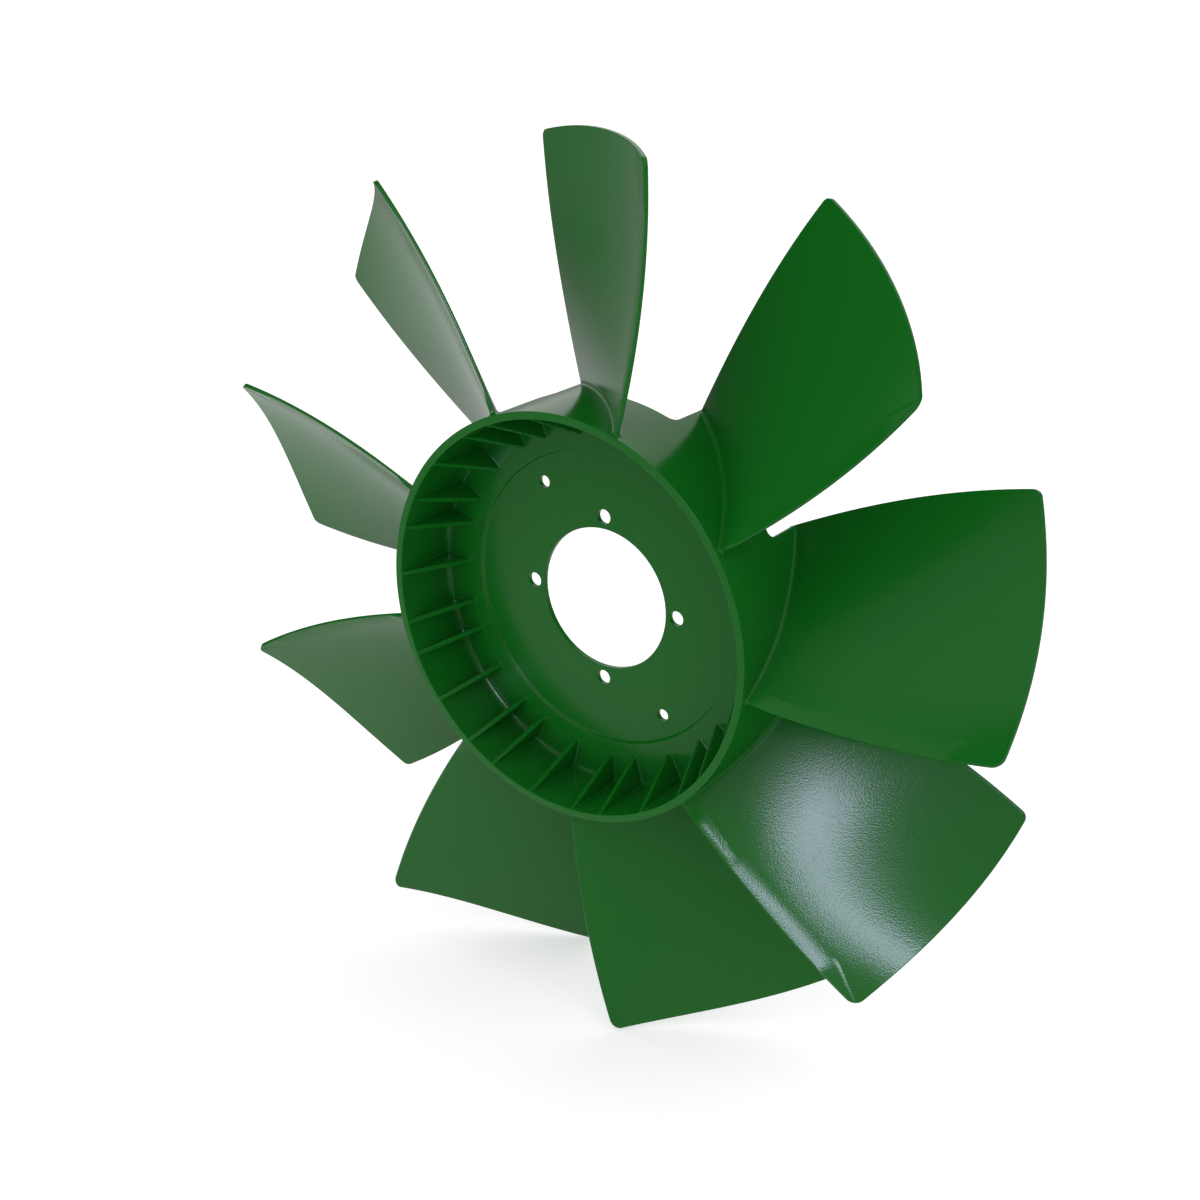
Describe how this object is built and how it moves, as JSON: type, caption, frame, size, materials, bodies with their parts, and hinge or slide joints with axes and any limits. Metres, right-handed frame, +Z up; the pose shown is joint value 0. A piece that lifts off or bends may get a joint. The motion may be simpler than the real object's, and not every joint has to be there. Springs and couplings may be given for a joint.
{
  "type": "axial fan impeller",
  "caption": "One-piece plastic axial fan impeller: twisted, cambered blades round a cup-shaped hub with gussets, a pilot bore and bolt holes in its floor.",
  "frame": {"origin": "centre of the pilot bore on the mounting face, the front face of the hub's floor", "axes": "the spin axis lies along Y, the open side of the hub faces -Y, +Z is up with a bolt hole at the top"},
  "size_m": [0.65, 0.0981, 0.6479],
  "materials": {
    "green_plastic": "satin"
  },
  "bodies": {
    "root": {"fan_impeller": "green_plastic"}
  },
  "joints": []
}
